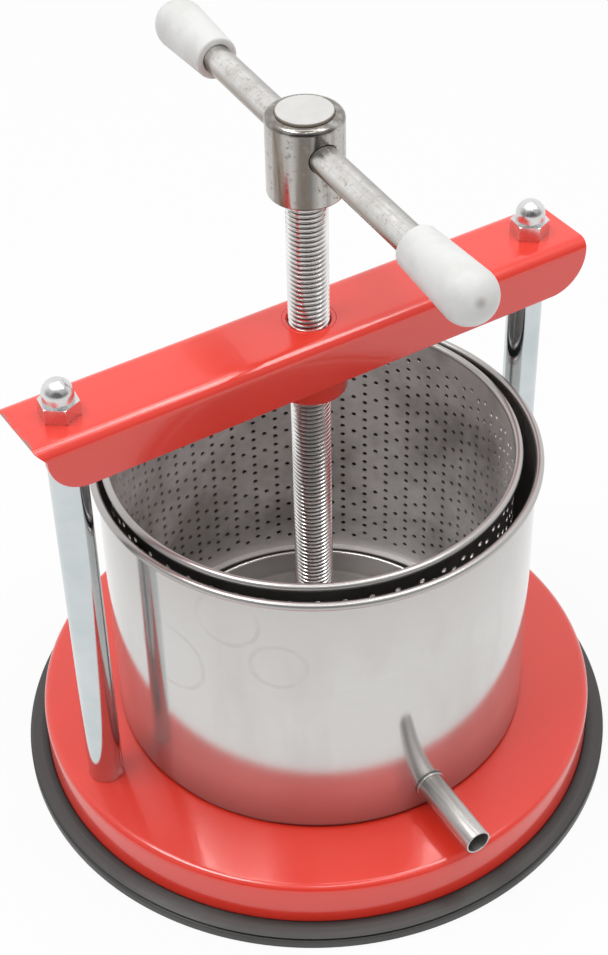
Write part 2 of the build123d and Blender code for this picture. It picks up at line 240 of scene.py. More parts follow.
round_lines, lines_in, lines_out = new_group(
    "lines round the axis", {"Vector": (0.0, 0.0, 0.0), "Fineness": 900.0, "Drift": 6.0}, "Tone"
)
height_only = add_node(round_lines, "ShaderNodeSeparateXYZ", {"Vector": lines_in["Vector"]})
fine_place = add_node(
    round_lines, "ShaderNodeCombineXYZ",
    {"X": axis_distance(round_lines, lines_in["Vector"]), "Z": height_only.outputs["Z"]},
)
fine_scaled = add_node(
    round_lines, "ShaderNodeVectorMath",
    {0: fine_place.outputs[0], "Scale": lines_in["Fineness"]}, operation="SCALE",
)
drift_scaled = add_node(
    round_lines, "ShaderNodeVectorMath",
    {0: lines_in["Vector"], "Scale": lines_in["Drift"]}, operation="SCALE",
)
line_place = add_node(
    round_lines, "ShaderNodeVectorMath",
    {0: fine_scaled.outputs[0], 1: drift_scaled.outputs[0]}, operation="ADD",
)
line_noise = add_node(
    round_lines, "ShaderNodeTexNoise",
    {"Vector": line_place.outputs[0], "Scale": 1.0, "Detail": 3.0, "Roughness": 0.6},
)
round_lines.links.new(line_noise.outputs["Fac"], lines_out["Tone"])

by_distance, distance_in, distance_out = new_group(
    "share by distance from the axis", {"Vector": (0.0, 0.0, 0.0), "Start": 0.0, "End": 1.0}, "Share"
)
from_axis = axis_distance(by_distance, distance_in["Vector"])
distance_share = ramp(by_distance, from_axis, distance_in["Start"], distance_in["End"])
by_distance.links.new(distance_share, distance_out["Share"])


def share_by_distance(tree, place_on_piece, start, end):
    return use_group(tree, by_distance, Vector=place_on_piece, Start=start * mm, End=end * mm)


black_rubber, tree, shader, spot = new_finish("black rubber")
streaks = use_group(tree, round_lines, Vector=spot, Fineness=700.0, Drift=9.0)
dust = use_group(tree, cloud, Vector=spot, Scale=24.0, Low=0.3, High=0.75)
rubber_grain = use_group(tree, cloud, Vector=spot, Scale=1500.0, Low=0.2, High=0.8)
rubber_tone = mix_colours(tree, streaks, (0.008, 0.0075, 0.007), (0.090, 0.085, 0.080))
dusty_tone = mix_colours(tree, dust, rubber_tone, (0.056, 0.054, 0.051))
# Painted shade: the crown is darker next to the base's skirt.
shade_by_the_skirt = share_by_distance(tree, spot, 154.5, 151.0)
crown_tone = mix_colours(tree, shade_by_the_skirt, dusty_tone, (0.010, 0.0094, 0.0088))
# Painted shade: the groove round the edging is near black.
above_lip = share_by_height(tree, spot, lip_top, groove_foot)
below_crown = share_by_height(tree, spot, shoulder_foot, groove_top - 0.1)
groove_painted_shade = both(tree, above_lip, below_crown)
feed(
    tree, shader,
    Base_Color=mix_colours(tree, groove_painted_shade, crown_tone, (0.001, 0.001, 0.001)),
    Roughness=between(tree, dust, 0.36, 0.55),
)
add_bump(tree, shader, rubber_grain, 0.04)

edging_outline = [
    (edging_inside, 0),
    (edging_inside, flange_level),
    (flange_radius + slot_gap, flange_level),
    (flange_radius + slot_gap, flange_level + base_sheet),
    (base_radius + skirt_gap, flange_level + base_sheet),
    (base_radius + skirt_gap, edging_top, 0.7),
    (crown_radius, edging_top - 0.2, 4.0),
    (edging_radius - 0.5, shoulder_foot, 0.4),
    (edging_radius - groove_depth, groove_top, 0.2),
    (edging_radius - groove_depth, groove_foot, 0.2),
    (edging_radius, lip_top, 0.5),
    (edging_radius, 0, 0.8),
]
edging = turned(edging_outline, 240, closed=True)
place(edging, "rubber_edging", "frame", ["base_edge_rubber"], black_rubber)


# Columns: drawn steel bar with a bluish bright zinc plating, turned down to a threaded stud at each end.
# The shoulders stand on the base and carry the crossbar, and nuts on the studs clamp both.
column_x = 131.0
column_radius = 9.0
column_head = 270.2
stud_radius = 5.0
lower_stud_end = 17.0
upper_stud_end = 285.2
stud_lead = 0.8
shoulder_edge = 0.6
column_places = (("left", -column_x), ("right", column_x))

zinc, tree, shader, spot = new_finish("bright zinc", 1.0)
zinc_bloom = use_group(tree, cloud, Vector=spot, Scale=22.0, Low=0.35, High=0.7)
lengthways = add_node(tree, "ShaderNodeMapping", {"Vector": spot, "Scale": (700.0, 700.0, 8.0)})
drawing_marks = use_group(tree, cloud, Vector=lengthways.outputs["Vector"], Scale=1.0, Low=0.25, High=0.75)
feed(
    tree, shader,
    Base_Color=mix_colours(tree, zinc_bloom, (0.54, 0.595, 0.61), (0.68, 0.71, 0.715)),
    Roughness=between(tree, zinc_bloom, 0.08, 0.2),
)
add_bump(tree, shader, drawing_marks, 0.004)

column_outline = [
    (0, lower_stud_end),
    (stud_radius, lower_stud_end, stud_lead),
    (stud_radius, base_top),
    (column_radius, base_top, shoulder_edge),
    (column_radius, column_head, shoulder_edge),
    (stud_radius, column_head),
    (stud_radius, upper_stud_end, stud_lead),
    (0, upper_stud_end),
]
for side, place_x in column_places:
    column = turned(column_outline, 96, about=(place_x, 0))
    place(column, f"{side}_column", "frame", [f"column_{side}"], zinc)


# Washers and hexagon nuts under the base: pressed washers and plain steel nuts, plated with bright zinc.
# One pair on each lower stud pulls the column's shoulder down on the base's top.
washer_top = base_top - base_sheet
washer_foot = washer_top - 2.5
washer_radius = 15.0
washer_hole = stud_radius + 0.3
nut_foot = washer_foot - 8.0
nut_flats = 17.0
nut_corner_radius = nut_flats / sqrt(3)
nut_face_radius = 8.2
nut_chamfer = 0.93
nut_hole = stud_radius + 0.1
nut_turn = 12.0
nut_edge = 0.15


def cut_off(mesh, point, outward):
    everything = mesh.verts[:] + mesh.edges[:] + mesh.faces[:]
    cut = bmesh.ops.bisect_plane(mesh, geom=everything, plane_co=point, plane_no=outward, clear_outer=True)
    rim = [part for part in cut["geom_cut"] if isinstance(part, bmesh.types.BMEdge)]
    bmesh.ops.edgeloop_fill(mesh, edges=rim)


def mill_flats(mesh, place_x, turn):
    for flat in range(6):
        angle = radians(turn + 60 * flat)
        outward = Vector((cos(angle), sin(angle), 0))
        middle = Vector((place_x * mm, 0, 0)) + outward * (nut_flats / 2 * mm)
        cut_off(mesh, middle, outward)
    return mesh


def round_edges(piece, width):
    bevel = piece.modifiers.new("rounded edges", "BEVEL")
    bevel.width = width * mm
    bevel.segments = 2
    bevel.limit_method = "ANGLE"
    bevel.angle_limit = radians(25)


washer_outline = [
    (washer_hole, washer_foot, 0.2),
    (washer_radius, washer_foot, 0.3),
    (washer_radius, washer_top, 0.6),
    (washer_hole, washer_top, 0.2),
]
nut_outline = [
    (nut_hole, nut_foot + stud_lead),
    (nut_hole + stud_lead, nut_foot),
    (nut_face_radius, nut_foot),
    (nut_corner_radius, nut_foot + nut_chamfer),
    (nut_corner_radius, washer_foot - nut_chamfer),
    (nut_face_radius, washer_foot),
    (nut_hole, washer_foot),
]
washers = turned(washer_outline, 64, about=(-column_x, 0), closed=True)
nuts = mill_flats(turned(nut_outline, 72, about=(-column_x, 0), closed=True), -column_x, nut_turn)
for pair in (washers, nuts):
    twin = bmesh.ops.duplicate(pair, geom=pair.verts[:] + pair.edges[:] + pair.faces[:])["geom"]
    twin_corners = [part for part in twin if isinstance(part, bmesh.types.BMVert)]
    bmesh.ops.translate(pair, verts=twin_corners, vec=(2 * column_x * mm, 0, 0))
place(washers, "foot_washers", "frame", ["base_washers"], zinc)
foot_nuts = place(nuts, "foot_nuts", "frame", ["base_nuts"], zinc)
round_edges(foot_nuts, nut_edge)


# Collecting pot: drawn from stainless sheet, with a rounded foot and its rim rolled outward into a bead.
# The wall is brushed round and round, and it stands loose on the base, a little off the middle and turned.
pot_foot = 34.3
pot_floor = 35.3
pot_radius = 110.5
pot_sheet = 1.0
pot_inside = pot_radius - pot_sheet
pot_bend = 2.0
pot_inner_bend = 1.0
pot_rim_level = 192.2
pot_bead = 2.1
pot_shift_x = 1.6
pot_shift_y = -1.8
pot_twist = radians(-2.4)
pot_place = Matrix.Translation((pot_shift_x * mm, pot_shift_y * mm, 0))
pot_stand = pot_place @ Matrix.Rotation(pot_twist, 4, "Z")
# The middle and the radius of the ring that each dried drop has left.
dried_drops = [
    ((-71.8, -82.2, 151.0), 13.5),
    ((-102.9, -32.9, 135.2), 20.0),
    ((-87.9, -63.6, 176.2), 16.0),
]
drop_ring_half_width = 1.2
drop_ring_wobble = 2.4


def bead(centre_radius, level, size, start, end, count=14):
    steps = [radians(start + (end - start) * step / count) for step in range(count + 1)]
    return [(centre_radius + size * cos(angle), level + size * sin(angle)) for angle in steps]


brushed_stainless, tree, shader, spot = new_finish("brushed stainless", 0.75)
brushing = use_group(tree, round_lines, Vector=spot, Fineness=2600.0, Drift=9.0)
water_marks = use_group(tree, cloud, Vector=spot, Scale=16.0, Low=0.35, High=0.7)
upright_spot = add_node(tree, "ShaderNodeMapping", {"Vector": spot, "Scale": (1.0, 1.0, 0.3)})
smudges = use_group(tree, cloud, Vector=upright_spot.outputs["Vector"], Scale=34.0, Low=0.44, High=0.70)
stainless_tone = mix_colours(tree, brushing, (0.60, 0.585, 0.565), (0.74, 0.725, 0.705))
clean_tone = mix_colours(tree, water_marks, stainless_tone, (0.67, 0.655, 0.64))
smudged_tone = mix_colours(tree, smudges, clean_tone, (0.61, 0.59, 0.575))
# Painted shade: the wall is darker towards the rim.
shade_near_rim = between(tree, share_by_height(tree, spot, 140.0, 188.0), 0.0, 0.7)
wall_tone = mix_colours(tree, shade_near_rim, smudged_tone, (0.57, 0.55, 0.535))
wobble = add_node(tree, "ShaderNodeTexNoise", {"Vector": spot, "Scale": 70.0, "Detail": 2.0})
wobble_step = add_node(
    tree, "ShaderNodeVectorMath",
    {0: wobble.outputs["Color"], "Scale": drop_ring_wobble * mm}, operation="SCALE",
)
uneven_spot = add_node(tree, "ShaderNodeVectorMath", {0: spot, 1: wobble_step.outputs[0]}, operation="ADD")
drop_film = use_group(tree, cloud, Vector=spot, Scale=55.0, Low=0.35, High=0.75)
for drop_middle, drop_radius in dried_drops:
    from_drop = add_node(
        tree, "ShaderNodeVectorMath",
        {0: uneven_spot.outputs[0], 1: tuple(value * mm for value in drop_middle)}, operation="DISTANCE",
    )
    on_ring = add_node(
        tree, "ShaderNodeMath",
        {0: from_drop.outputs["Value"], 1: drop_radius * mm, 2: drop_ring_half_width * mm},
        operation="COMPARE",
    )
    wall_tone = mix_colours(tree, both(tree, on_ring.outputs[0], drop_film), wall_tone, (0.55, 0.535, 0.52))
# Painted shade: the wall is darker towards its foot, where it mirrors the shaded base.
low_wall_painted_shade = between(tree, share_by_height(tree, spot, 62.0, 36.0), 0.0, 0.8)
low_shaded_tone = mix_colours(tree, low_wall_painted_shade, wall_tone, (0.36, 0.345, 0.335))
foot_shade = share_by_height(tree, spot, 36.6, 35.6)
rim_share = share_by_height(tree, spot, 189.2, 189.8)
rim_tone = mix_colours(tree, rim_share, low_shaded_tone, (0.50, 0.485, 0.47))
near_foot = share_by_height(tree, spot, 115.0, 75.0)
wall_gloss = between(tree, near_foot, between(tree, water_marks, 0.05, 0.10), 0.155)
feed(
    tree, shader,
    Base_Color=mix_colours(tree, foot_shade, rim_tone, (0.02, 0.018, 0.016)),
    Roughness=between(tree, rim_share, wall_gloss, 0.28),
)
add_bump(tree, shader, brushing, 0.008)

# Second finish: stainless painted dark as the shade in the narrow gap between the pot and the basket.
gap_shade_stainless, tree, shader, spot = new_finish("stainless painted with gap shade", 0.8)
shader.inputs["Roughness"].default_value = 0.5
gap_shade_patches = use_group(tree, cloud, Vector=spot, Scale=40.0, Low=0.3, High=0.7)
feed(tree, shader, Base_Color=mix_colours(tree, gap_shade_patches, (0.20, 0.185, 0.175), (0.30, 0.285, 0.27)))

bead_start = -degrees(pi / 2 + asin((pot_bead - pot_sheet) / pot_bead))
pot_outline = [(0, pot_foot), (pot_radius, pot_foot, pot_bend)]
pot_outline += [(pot_radius, level) for level in (40.0, 60.0, 90.0, 120.0, 150.0, 180.0)]
pot_outline += bead(pot_inside + pot_bead, pot_rim_level, pot_bead, bead_start, 180)
pot_outline += [(pot_inside, level) for level in (60.0, 40.0)]
pot_outline += [(pot_inside, pot_floor, pot_inner_bend), (0, pot_floor)]
pot_shell = turned(pot_outline, 240)
# Inward faces of the wall below the rim take the second finish, with its painted gap shade.
for face in pot_shell.faces:
    middle = face.calc_center_median()
    inward = face.normal.x * middle.x + face.normal.y * middle.y < 0
    below_rim = middle.z < (pot_rim_level - 1) * mm
    face.material_index = 1 if inward and below_rim else 0
bmesh.ops.transform(pot_shell, matrix=pot_stand, verts=pot_shell.verts[:])
pot = place(pot_shell, "juice_pot", "pot", ["collector_pot", "pot_floor"], brushed_stainless)
pot.data.materials.append(gap_shade_stainless)


# Spout pipe: a short piece of drawn stainless pipe, cut square, through the pot's wall close to its floor.
# It is fixed in a drilled hole, and its outer end is open for a jug or a hose.
spout_axis = 49.5
spout_radius = 6.8
spout_bore = 5.9
spout_start = 107.5
spout_end = 155.0
spout_hole = spout_radius + 0.05
spout_hole_start = 100.0
spout_hole_end = 118.0


def rod(radius, start, end, steps):
    return turned([(0, start), (radius, start), (radius, end), (0, end)], steps)


def drill(piece, cutter):
    data = bpy.data.meshes.new("cutter")
    cutter.to_mesh(data)
    cutter.free()
    tool = bpy.data.objects.new("cutter", data)
    bpy.context.scene.collection.objects.link(tool)
    cut = piece.modifiers.new("drilled", "BOOLEAN")
    cut.object = tool
    cut.solver = "EXACT"
    whole = piece.data
    piece.data = bpy.data.meshes.new_from_object(piece.evaluated_get(bpy.context.evaluated_depsgraph_get()))
    piece.modifiers.remove(cut)
    piece.data.set_sharp_from_angle(angle=radians(30))
    bpy.data.meshes.remove(whole)
    bpy.data.objects.remove(tool)
    bpy.data.meshes.remove(data)


spout_way = pot_stand @ Matrix.Translation((0, 0, spout_axis * mm)) @ Matrix.Rotation(pi / 2, 4, "X")
hole = rod(spout_hole, spout_hole_start, spout_hole_end, 48)
bmesh.ops.transform(hole, matrix=spout_way, verts=hole.verts[:])
drill(pot, hole)

bright_stainless, tree, shader, spot = new_finish("bright stainless", 1.0)
pipe_marks = add_node(tree, "ShaderNodeMapping", {"Vector": spot, "Scale": (900.0, 25.0, 900.0)})
pipe_lines = use_group(tree, cloud, Vector=pipe_marks.outputs["Vector"], Scale=1.0, Low=0.25, High=0.75)
feed(
    tree, shader,
    Base_Color=mix_colours(tree, pipe_lines, (0.46, 0.445, 0.43), (0.68, 0.665, 0.645)),
    Roughness=between(tree, pipe_lines, 0.30, 0.44),
)
add_bump(tree, shader, pipe_lines, 0.004)

pipe_outline = [
    (spout_bore, spout_start, 0.3),
    (spout_radius, spout_start, 0.3),
    (spout_radius, spout_end, 0.35),
    (spout_bore, spout_end, 0.35),
]
pipe = turned(pipe_outline, 64, closed=True)
bmesh.ops.transform(pipe, matrix=spout_way, verts=pipe.verts[:])
place(pipe, "spout_pipe", "pot", ["spout_tube"], bright_stainless)


# Spout ring: a pressed stainless ring with a narrow neck, slipped over the pipe against the pot's wall.
# It closes the gap between the pipe and the hole.
ring_radius = 8.1
ring_face = pot_radius + 1.4
ring_back = pot_radius + 0.5
neck_radius = 7.3
neck_start = pot_radius - 0.4
ring_outline = [
    (spout_hole, neck_start),
    (neck_radius, neck_start),
    (neck_radius, ring_back),
    (ring_radius, ring_back, 0.2),
    (ring_radius, ring_face, 0.4),
    (spout_hole, ring_face),
]
ring = turned(ring_outline, 64, closed=True)
bmesh.ops.transform(ring, matrix=spout_way, verts=ring.verts[:])
place(ring, "spout_ring", "pot", ["spout_collar"], bright_stainless)


# Basket: perforated stainless sheet rolled into a tube and seamed, with its rim rolled into a bead.
# Close columns of holes alternate with columns that have a hole in every other row.
basket_inside = 101.3
basket_sheet = 0.8
basket_rim_level = 195.7
basket_bead = 2.1
hole_radius = 1.4
hole_pitch = 6.1
top_hole_level = 181.5
dense_rows = 23
columns_of_holes = 100
steps_between_columns = 3
rows_between_holes = 4
first_column_angle = -2.3
row_slack = 0.1

used_stainless, tree, shader, spot = new_finish("used stainless")
stains = use_group(tree, cloud, Vector=spot, Scale=17.0, Low=0.40, High=0.62)
fruit_film = use_group(tree, cloud, Vector=spot, Scale=75.0, Low=0.4, High=0.7)
rolling = use_group(tree, round_lines, Vector=spot, Fineness=500.0, Drift=30.0)
sheet_tone = mix_colours(tree, rolling, (0.84, 0.825, 0.81), (0.95, 0.935, 0.92))
streaked_tone = mix_colours(tree, stains, sheet_tone, (0.50, 0.48, 0.46))
# Painted light: the wall is lighter and not metallic towards its foot.
painted_light_low_band = between(tree, share_by_height(tree, spot, 56.0, 40.0), 0.0, 0.8)
stains_and_painted_light_tone = mix_colours(tree, painted_light_low_band, streaked_tone, (0.96, 0.945, 0.93))
# Painted shade: a near black ring on the floor between the plate's edge and the wall.
past_plate = share_by_distance(tree, spot, 90.0, 92.0)
short_of_wall = share_by_distance(tree, spot, 98.0, 96.5)
gap_painted_shade = both(tree, past_plate, short_of_wall)
feed(
    tree, shader,
    Base_Color=mix_colours(tree, gap_painted_shade, stains_and_painted_light_tone, (0.012, 0.010, 0.009)),
    Metallic=between(tree, painted_light_low_band, 0.55, 0.0),
    Roughness=between(tree, fruit_film, 0.42, 0.56),
)

row_height = hole_pitch / rows_between_holes
turn_step = 360 / (columns_of_holes * steps_between_columns)
# The sparse columns stand half a pitch off the others, with one wider step above their lowest four holes.
sparse_rows = [2 * row - 0.5 for row in range(8)] + [2 * row + 16.5 for row in range(4)]
lowest_grid_level = top_hole_level - dense_rows * hole_pitch
grid_rows = (dense_rows + 1) * rows_between_holes
wall_levels = [pot_floor] + [lowest_grid_level + row * row_height for row in range(grid_rows + 1)]
wall_levels.append(basket_rim_level)
wall = turned([(basket_inside, level) for level in wall_levels], columns_of_holes * steps_between_columns)
# The corners of the wall's grid that are the middles of holes.
punched = []
for corner in wall.verts:
    step = round(degrees(atan2(corner.co.y, corner.co.x)) / turn_step)
    row = (top_hole_level - corner.co.z / mm) / hole_pitch
    in_dense = step % (2 * steps_between_columns) == 0
    in_sparse = step % (2 * steps_between_columns) == steps_between_columns
    dense_hole = in_dense and abs(row - round(row)) < row_slack and 0 <= round(row) < dense_rows
    sparse_hole = in_sparse and any(abs(row - hole_row) < row_slack for hole_row in sparse_rows)
    if dense_hole or sparse_hole:
        punched.append(corner)
# The corners round each middle are drawn to the hole's edge, and then the middles are deleted.
for middle in punched:
    along = Vector((-middle.co.y, middle.co.x, 0)).normalized()
    rim = {corner for face in middle.link_faces for corner in face.verts} - {middle}
    for corner in rim:
        offset = corner.co - middle.co
        sideways = round(offset.dot(along) / (turn_step * pi / 180 * basket_inside * mm))
        upward = round(offset.z / (row_height * mm))
        reach = hole_radius * mm / sqrt(sideways**2 + upward**2)
        turn = Matrix.Rotation(sideways * reach / (basket_inside * mm), 3, "Z")
        corner.co = turn @ middle.co + Vector((0, 0, upward * reach))
bmesh.ops.delete(wall, geom=punched, context="VERTS")
bmesh.ops.rotate(
    wall, cent=(0, 0, 0), matrix=Matrix.Rotation(radians(first_column_angle), 3, "Z"), verts=wall.verts[:]
)
outer = bmesh.ops.extrude_face_region(wall, geom=wall.faces[:], use_keep_orig=True)["geom"]
outer_corners = [part for part in outer if isinstance(part, bmesh.types.BMVert)]
outer_size = 1 + basket_sheet / basket_inside
bmesh.ops.scale(wall, vec=(outer_size, outer_size, 1), verts=outer_corners)
bmesh.ops.recalc_face_normals(wall, faces=wall.faces[:])
# Faces of the outer side get the second finish, which is painted dark as the shade in the gap. The holes'
# edges keep the first.
for face in wall.faces:
    middle = face.calc_center_median()
    outside = face.normal.x * middle.x + face.normal.y * middle.y > basket_inside / 2 * mm
    face.material_index = 1 if outside else 0
basket_wall = place(wall, "basket_wall", "basket", ["basket"], used_stainless, sharp=50)
basket_wall.data.materials.append(gap_shade_stainless)

rim_outline = bead(basket_inside + basket_bead, basket_rim_level, basket_bead, 0, 360)[:-1]
rim = turned(rim_outline, 240, closed=True)
place(rim, "basket_rim", "basket", ["basket"], brushed_stainless)


# Basket floor: a disc of the same sheet with rings of holes, fixed inside the foot of the wall.
# Juice that is pressed out downward runs through it into the pot.
floor_radius = 101.2
rings_of_holes = 12
ring_pitch = 6.8
holes_in_first_ring = 6
punch_length = 4.0
floor_outline = [
    (0, pot_floor),
    (floor_radius, pot_floor),
    (floor_radius, pot_floor + basket_sheet),
    (0, pot_floor + basket_sheet),
]
floor_disc = place(
    turned(floor_outline, 120), "floor_disc", "basket", ["basket_floor"], used_stainless
)
punches = bmesh.new()
for ring_number in range(1, rings_of_holes + 1):
    holes_in_ring = holes_in_first_ring * ring_number
    for hole_number in range(holes_in_ring):
        turn = Matrix.Rotation(2 * pi * hole_number / holes_in_ring, 4, "Z")
        spot_on_disc = Matrix.Translation((ring_number * ring_pitch * mm, 0, pot_floor * mm))
        bmesh.ops.create_cone(
            punches, cap_ends=True, segments=8, radius1=hole_radius * mm, radius2=hole_radius * mm,
            depth=punch_length * mm, matrix=turn @ spot_on_disc,
        )
drill(floor_disc, punches)


# Press plate: a shallow dish of stainless sheet with a low sloping rim and a rounded edge, for pushing fruit.
# It is pressed from one disc, and a cup for the screw's foot is fixed on its middle.
plate_foot = 36.4
plate_sheet = 2.0
plate_flat_radius = 75.5
plate_radius = 90.0
plate_rise = 2.5
plate_bend = 4.0
plate_edge_top = plate_foot + plate_rise + plate_sheet
lip_height = 0.5
lip_width = 1.4

plate_stainless, tree, shader, spot = new_finish("plate stainless", 0.85)
plate_film = use_group(tree, cloud, Vector=spot, Scale=45.0, Low=0.35, High=0.68)
flat_tone = mix_colours(tree, plate_film, (0.47, 0.457, 0.445), (0.35, 0.338, 0.326))
# Painted shade: the sloping rim is darker than the flat.
slope_painted_shade = share_by_distance(tree, spot, plate_flat_radius - 0.8, plate_flat_radius + 0.8)
slope_tone = mix_colours(tree, slope_painted_shade, flat_tone, (0.25, 0.239, 0.229))
# Painted highlight: a pale band along the lip, which is also glossier.
edge_painted_highlight = share_by_distance(tree, spot, plate_radius - 1.9, plate_radius - 1.5)
feed(
    tree, shader,
    Base_Color=mix_colours(tree, edge_painted_highlight, slope_tone, (0.86, 0.845, 0.83)),
    Roughness=between(tree, edge_painted_highlight, 0.42, 0.24),
)

plate_outline = [
    (0, plate_foot),
    (plate_flat_radius, plate_foot, plate_bend),
    (plate_radius, plate_foot + plate_rise, 0.5),
    (plate_radius, plate_edge_top + lip_height, 0.6),
    (plate_radius - lip_width, plate_edge_top + lip_height, 0.5),
    (plate_radius - lip_width - 0.3, plate_edge_top - 0.3),
    (plate_flat_radius, plate_foot + plate_sheet, plate_bend),
    (0, plate_foot + plate_sheet),
]
place(turned(plate_outline, 200), "pressing_plate", "plate", ["press_plate"], plate_stainless)


# Screw cup: a turned steel cup on the middle of the plate, with a bore that takes the screw's foot.
# It is drilled across for two grub screws.
cup_radius = 20.0
cup_top = 54.0
cup_bore = 8.3
cup_bore_floor = 41.4
grub_level = 49.0
grub_hole = 3.0
grub_hole_reach = 25.0

turned_steel, tree, shader, spot = new_finish("turned steel", 1.0)
tool_marks = use_group(tree, round_lines, Vector=spot, Fineness=1500.0, Drift=20.0)
feed(
    tree, shader,
    Base_Color=mix_colours(tree, tool_marks, (0.48, 0.465, 0.45), (0.62, 0.605, 0.59)),
    Roughness=between(tree, tool_marks, 0.18, 0.32),
)
add_bump(tree, shader, tool_marks, 0.01)

cup_outline = [
    (0, plate_foot + plate_sheet),
    (cup_radius, plate_foot + plate_sheet, 0.4),
    (cup_radius, cup_top, 1.5),
    (cup_bore, cup_top, 0.5),
    (cup_bore, cup_bore_floor),
    (0, cup_bore_floor),
]
cup = place(turned(cup_outline, 96), "screw_cup", "plate", ["plate_boss"], turned_steel)
across_plate = Matrix.Translation((0, 0, grub_level * mm)) @ Matrix.Rotation(pi / 2, 4, "Y")
cross_hole = rod(grub_hole, -grub_hole_reach, grub_hole_reach, 32)
bmesh.ops.transform(cross_hole, matrix=across_plate, verts=cross_hole.verts[:])
drill(cup, cross_hole)


# Grub screws: two zinc-plated steel screws with sockets, screwed into the cup's cross hole from both sides.
# Their tips stand in the groove of the screw's foot, so the plate hangs on it and need not turn with it.
grub_tip = 6.55
grub_end = 18.5
grub_radius = 2.9
socket_wall = 1.2
socket_depth = 2.5
grubs = bmesh.new()
for way in (0, pi):
    made = bmesh.ops.create_cone(
        grubs, cap_ends=True, segments=24, radius1=grub_radius * mm, radius2=grub_radius * mm,
        depth=(grub_end - grub_tip) * mm,
    )["verts"]
    bmesh.ops.translate(grubs, verts=made, vec=(0, 0, (grub_end + grub_tip) / 2 * mm))
    ends = {face for corner in made for face in corner.link_faces}
    outer_end = max(ends, key=lambda face: face.calc_center_median().z)
    bmesh.ops.inset_individual(grubs, faces=[outer_end], thickness=socket_wall * mm)
    socket = bmesh.ops.extrude_discrete_faces(grubs, faces=[outer_end])["faces"]
    bmesh.ops.translate(grubs, verts=socket[0].verts[:], vec=(0, 0, -socket_depth * mm))
    grub = [corner for corner in grubs.verts if not corner.tag]
    facing = across_plate @ Matrix.Rotation(way, 4, "Y")
    bmesh.ops.transform(grubs, matrix=facing, verts=grub)
    for corner in grub:
        corner.tag = True
place(grubs, "grub_screws", "plate", ["boss_grub_screws"], zinc)


# Thrust washer: a turned bronze disc on the floor of the cup, which the screw's foot pushes on.
# Its solid has the right shape, so it stays and gets its finish here.
bronze, tree, shader, spot = new_finish("turned bronze", 1.0)
shader.inputs["Roughness"].default_value = 0.35
bronze_marks = use_group(tree, round_lines, Vector=spot, Fineness=1500.0, Drift=10.0)
feed(tree, shader, Base_Color=mix_colours(tree, bronze_marks, (0.42, 0.25, 0.11), (0.58, 0.37, 0.17)))
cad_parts["thrust_washer"].data.materials.clear()
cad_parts["thrust_washer"].data.materials.append(bronze)


# Crossbar: steel sheet bent into a channel with its web up, its flanges rounded off at their ends.
# It is enamelled like the base and drilled for the two studs and for the threaded bush in its middle.
crossbar_edge = 0.6
channel = bmesh.new()
channel.from_mesh(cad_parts["crossbar"].data)
bmesh.ops.remove_doubles(channel, verts=channel.verts[:], dist=merge_distance)
bmesh.ops.dissolve_limit(channel, angle_limit=radians(1), verts=channel.verts[:], edges=channel.edges[:])
crossbar = place(channel, "red_crossbar", "frame", ["crossbar"], red_enamel)
round_edges(crossbar, crossbar_edge)


# Threaded bush: a turned steel nut with a spigot that fills the hole in the web, welded in from below.
# It is enamelled with the crossbar, and the screw runs in its thread.
web_top = 273.2
bush_foot = 234.0
bush_radius = 18.2
bush_chamfer = 3.0
bush_bore = 10.3
bush_lead = 1.0
spigot_radius = 13.0
spigot_lead = 0.9
bush_outline = [
    (bush_bore, bush_foot + bush_lead),
    (bush_bore + bush_lead, bush_foot),
    (bush_radius, bush_foot, 1.2),
    (bush_radius, column_head - bush_chamfer, 0.5),
    (bush_radius - bush_chamfer, column_head),
    (spigot_radius, column_head),
    (spigot_radius, web_top, 0.3),
    (bush_bore + spigot_lead, web_top, 0.3),
    (bush_bore, web_top - spigot_lead),
]
bush = turned(bush_outline, 96, closed=True)
place(bush, "threaded_bush", "frame", ["screw_nut"], red_enamel)


# Cap nuts: domed hexagon nuts turned from bar, polished and nickel plated.
# They close the upper studs and clamp the crossbar on the columns.
cap_nut_foot = web_top + 0.05
cap_nut_top = web_top + 8.0
cap_nut_foot_radius = 9.2
cap_nut_top_radius = 9.3
cap_nut_turn = -128.0
dome_radius = 7.4
dome_level = web_top + 11.5
cap_hole_end = upper_stud_end + 0.5

bright_plate, tree, shader, spot = new_finish("bright plate", 1.0)
plate_cloud = use_group(tree, cloud, Vector=spot, Scale=120.0, Low=0.3, High=0.7)
feed(
    tree, shader,
    Base_Color=mix_colours(tree, plate_cloud, (0.66, 0.66, 0.66), (0.80, 0.80, 0.80)),
    Roughness=between(tree, plate_cloud, 0.20, 0.32),
)

cap_outline = [
    (nut_hole, cap_nut_foot),
    (cap_nut_foot_radius, cap_nut_foot),
    (nut_corner_radius, web_top + 0.4),
    (nut_corner_radius, cap_nut_top - 0.3),
    (cap_nut_top_radius, cap_nut_top),
    (dome_radius, cap_nut_top),
    (dome_radius, cap_nut_top + 0.4),
]
cap_outline += bead(0, dome_level, dome_radius, 0, 90, 20)
cap_outline += [(0, cap_hole_end), (nut_hole, cap_hole_end)]
for side, place_x in column_places:
    blank = turned(cap_outline, 72, about=(place_x, 0), closed=True)
    milled = mill_flats(blank, place_x, cap_nut_turn)
    cap_nut = place(milled, f"{side}_cap_nut", "frame", ["cap_nuts"], bright_plate)
    round_edges(cap_nut, nut_edge)


# Press screw: a steel bar with a rolled M20 thread along its whole length and a grooved foot in the cup.
# Its top is fixed in the hub, and the roots of the thread are painted dark as shade.
screw_radius = 10.0
thread_root = 8.55
thread_pitch = 2.5
screw_shoulder = 54.3
screw_foot = 43.7
journal_radius = 8.0
journal_groove_radius = 6.25
journal_groove_foot = 45.7
journal_groove_top = 52.3
hub_foot = 343.0
thread_top = hub_foot + 1
thread_steps = 30

